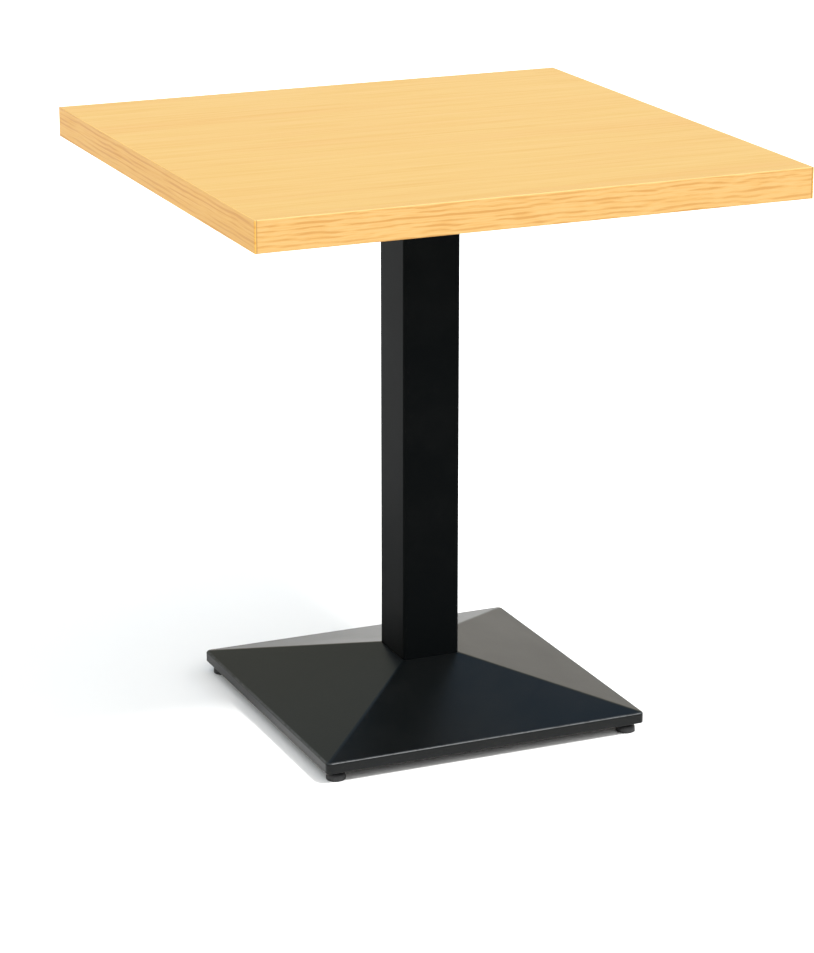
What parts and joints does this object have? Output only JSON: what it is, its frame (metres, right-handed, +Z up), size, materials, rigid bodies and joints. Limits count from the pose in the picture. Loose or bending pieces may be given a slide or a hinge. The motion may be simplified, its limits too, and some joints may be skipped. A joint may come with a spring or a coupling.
{
  "type": "bistro table",
  "caption": "Square laminate bistro table on one square steel column and a hollow cast pyramid base with adjustable levelling glides.",
  "frame": {"origin": "on the floor, under the middle of the table", "axes": "+Z up; X and Y along the sides of the square top; front is -Y"},
  "size_m": [0.7, 0.7, 0.74],
  "materials": {
    "top_decor": "satin beech decor laminate",
    "edge_decor": "satin beech decor edge band",
    "backing_laminate": "matt brown balancing laminate",
    "particleboard": "raw particleboard",
    "black_casting": "black powder coat on cast iron",
    "black_steel": "black powder coat on steel tube",
    "zinc_steel": "zinc-plated steel",
    "blackened_steel": "blackened steel",
    "black_plastic": "matt black moulded plastic"
  },
  "bodies": {
    "table": {"top_core": "particleboard", "top_laminate": "top_decor", "underside_laminate": "backing_laminate", "edge_band_front": "edge_decor", "edge_band_back": "edge_decor", "edge_band_left": "edge_decor", "edge_band_right": "edge_decor", "mounting_spider": "black_casting", "spider_screws": "zinc_steel", "column_tube": "black_steel", "tie_rod": "zinc_steel", "top_washer": "zinc_steel", "top_nut": "zinc_steel", "bottom_washer": "zinc_steel", "bottom_nut": "zinc_steel", "base_casting": "black_casting"},
    "pad_front_left": {"glide_pad_front_left": "black_plastic"},
    "stud_front_left": {"glide_stud_front_left": "blackened_steel"},
    "pad_front_right": {"glide_pad_front_right": "black_plastic"},
    "stud_front_right": {"glide_stud_front_right": "blackened_steel"},
    "pad_back_right": {"glide_pad_back_right": "black_plastic"},
    "stud_back_right": {"glide_stud_back_right": "blackened_steel"},
    "pad_back_left": {"glide_pad_back_left": "black_plastic"},
    "stud_back_left": {"glide_stud_back_left": "blackened_steel"}
  },
  "joints": [
    {"name": "level_front_left", "type": "slide", "parent": "table", "child": "pad_front_left", "axis": [0, 0, -1], "range_m": [0, 0.008]},
    {"name": "screw_front_left", "type": "hinge", "parent": "pad_front_left", "child": "stud_front_left", "pos_m": [-0.197, -0.197, 0], "axis": [0, 0, -1], "range_deg": [0, 2304]},
    {"name": "level_front_right", "type": "slide", "parent": "table", "child": "pad_front_right", "axis": [0, 0, -1], "range_m": [0, 0.008]},
    {"name": "screw_front_right", "type": "hinge", "parent": "pad_front_right", "child": "stud_front_right", "pos_m": [0.197, -0.197, 0], "axis": [0, 0, -1], "range_deg": [0, 2304]},
    {"name": "level_back_right", "type": "slide", "parent": "table", "child": "pad_back_right", "axis": [0, 0, -1], "range_m": [0, 0.008]},
    {"name": "screw_back_right", "type": "hinge", "parent": "pad_back_right", "child": "stud_back_right", "pos_m": [0.197, 0.197, 0], "axis": [0, 0, -1], "range_deg": [0, 2304]},
    {"name": "level_back_left", "type": "slide", "parent": "table", "child": "pad_back_left", "axis": [0, 0, -1], "range_m": [0, 0.008]},
    {"name": "screw_back_left", "type": "hinge", "parent": "pad_back_left", "child": "stud_back_left", "pos_m": [-0.197, 0.197, 0], "axis": [0, 0, -1], "range_deg": [0, 2304]}
  ],
  "couplings": [
    {"joint": "screw_front_left", "follows": "level_front_left", "rad_per_m": 5026.5},
    {"joint": "screw_front_right", "follows": "level_front_right", "rad_per_m": 5026.5},
    {"joint": "screw_back_right", "follows": "level_back_right", "rad_per_m": 5026.5},
    {"joint": "screw_back_left", "follows": "level_back_left", "rad_per_m": 5026.5}
  ]
}
